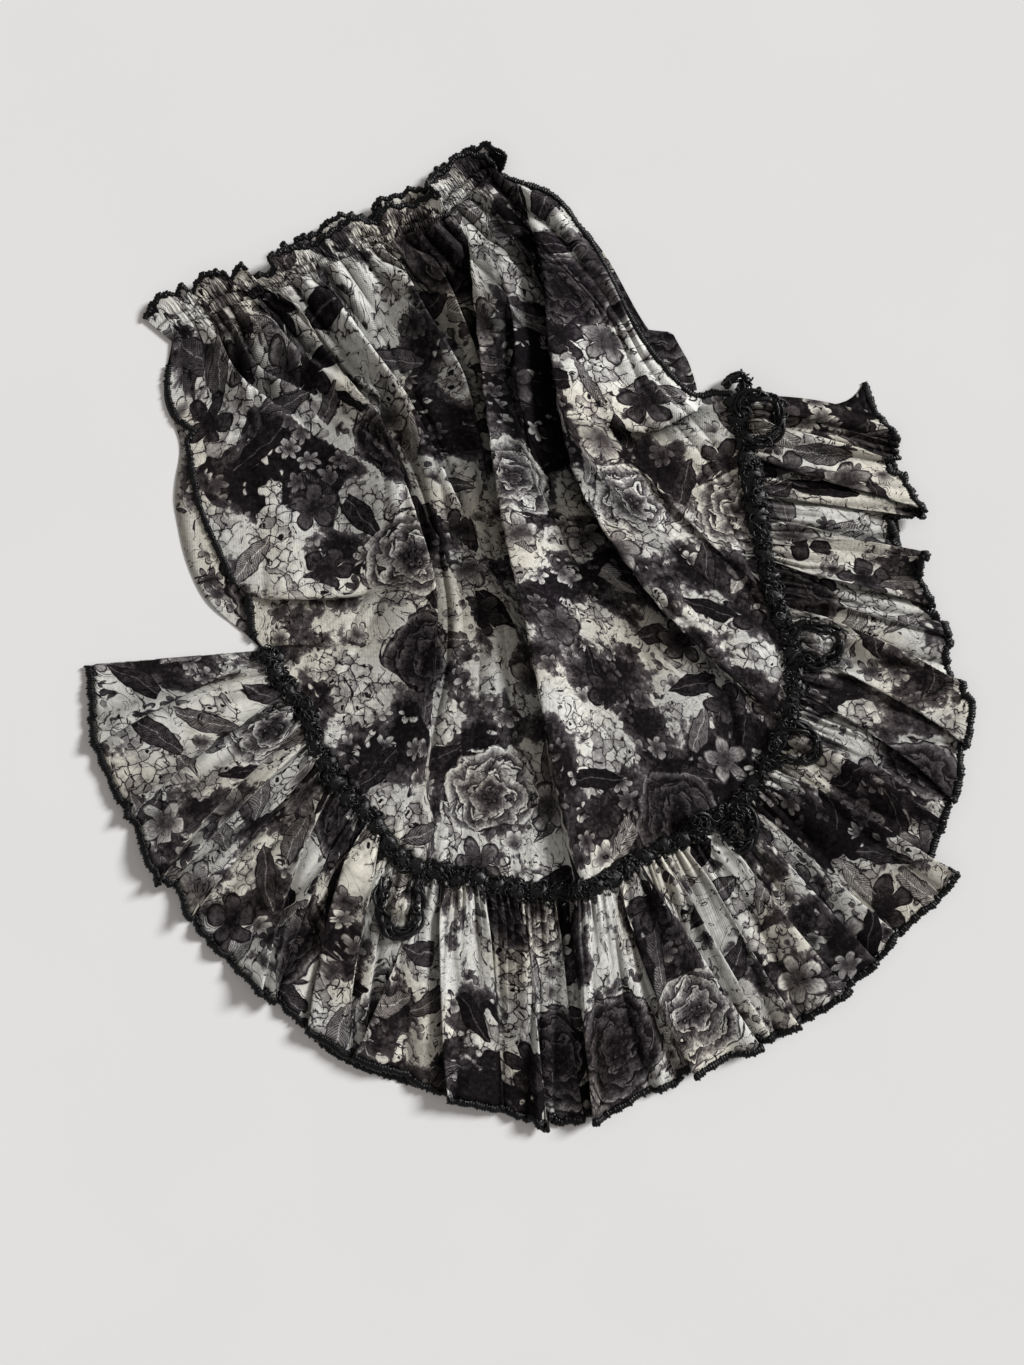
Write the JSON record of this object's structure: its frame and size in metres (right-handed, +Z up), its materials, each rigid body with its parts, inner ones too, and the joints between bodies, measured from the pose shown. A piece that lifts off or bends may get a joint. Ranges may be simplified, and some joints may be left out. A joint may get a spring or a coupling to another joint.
{
  "type": "midi skirt laid flat",
  "caption": "Midi skirt of printed mesh laid flat, with a shirred frill waist, a flared body, and a gathered flounce under a black ruched trim.",
  "frame": {"origin": "under the middle of the skirt's box, on the surface it lies on", "axes": "+Z up from the surface, +Y towards the waist, +X to the right of a person who looks down at the front"},
  "size_m": [0.7384, 0.8114, 0.0213],
  "materials": {
    "printed_mesh": "sheer fine mesh with a black, grey and ivory botanical print",
    "overlock_thread": "chunky black overlocked thread",
    "ruched_trim": "fuzzy black thread trim, ruched, with a slight gloss"
  },
  "bodies": {
    "root": {"body_front": "printed_mesh", "body_back": "printed_mesh", "waist_front": "printed_mesh", "waist_back": "printed_mesh", "flounce_front": "printed_mesh", "flounce_back": "printed_mesh", "waist_edge_front": "overlock_thread", "waist_edge_back": "overlock_thread", "seam_left": "overlock_thread", "seam_right": "overlock_thread", "hem_edge_front": "overlock_thread", "hem_edge_back": "overlock_thread", "trim_front": "ruched_trim", "trim_back": "ruched_trim"}
  },
  "joints": []
}
